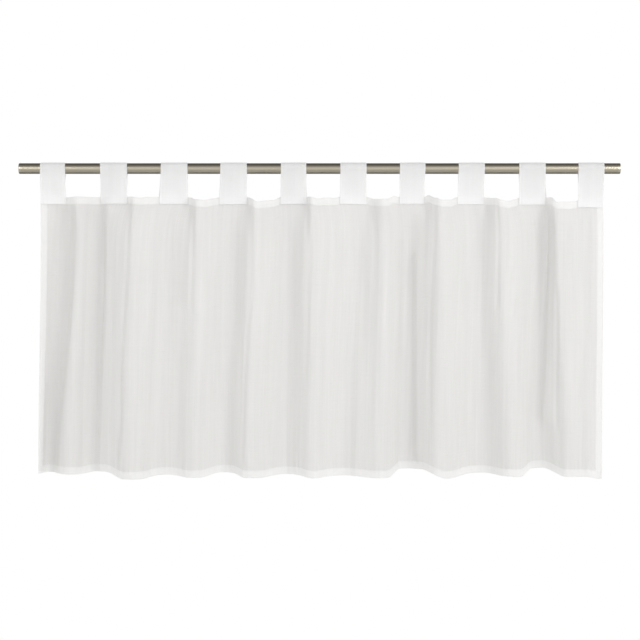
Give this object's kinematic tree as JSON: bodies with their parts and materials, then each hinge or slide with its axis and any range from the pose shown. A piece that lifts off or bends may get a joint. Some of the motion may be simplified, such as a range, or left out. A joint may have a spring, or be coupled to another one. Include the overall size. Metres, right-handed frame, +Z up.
{
  "type": "cafe curtain and rod",
  "caption": "Short semi-sheer white curtain with soft uneven folds, hung by cloth tabs from a plain round brushed steel rod.",
  "frame": {"origin": "centre of the rod's left end face, as seen from the front of the curtain", "axes": "+X along the rod to its right end, +Z up, the front of the curtain faces -Y"},
  "size_m": [0.912, 0.0494, 0.4806],
  "materials": {
    "sheer_cloth": "matt, semi-sheer plain weave with fine slubs",
    "tab_cloth": "matt, plain weave in two layers",
    "brushed_steel": "satin, brushed along its length"
  },
  "bodies": {
    "root": {"rod": "brushed_steel", "panel": "sheer_cloth", "tab_01": "tab_cloth", "tab_02": "tab_cloth", "tab_03": "tab_cloth", "tab_04": "tab_cloth", "tab_05": "tab_cloth", "tab_06": "tab_cloth", "tab_07": "tab_cloth", "tab_08": "tab_cloth", "tab_09": "tab_cloth", "tab_10": "tab_cloth"}
  },
  "joints": []
}
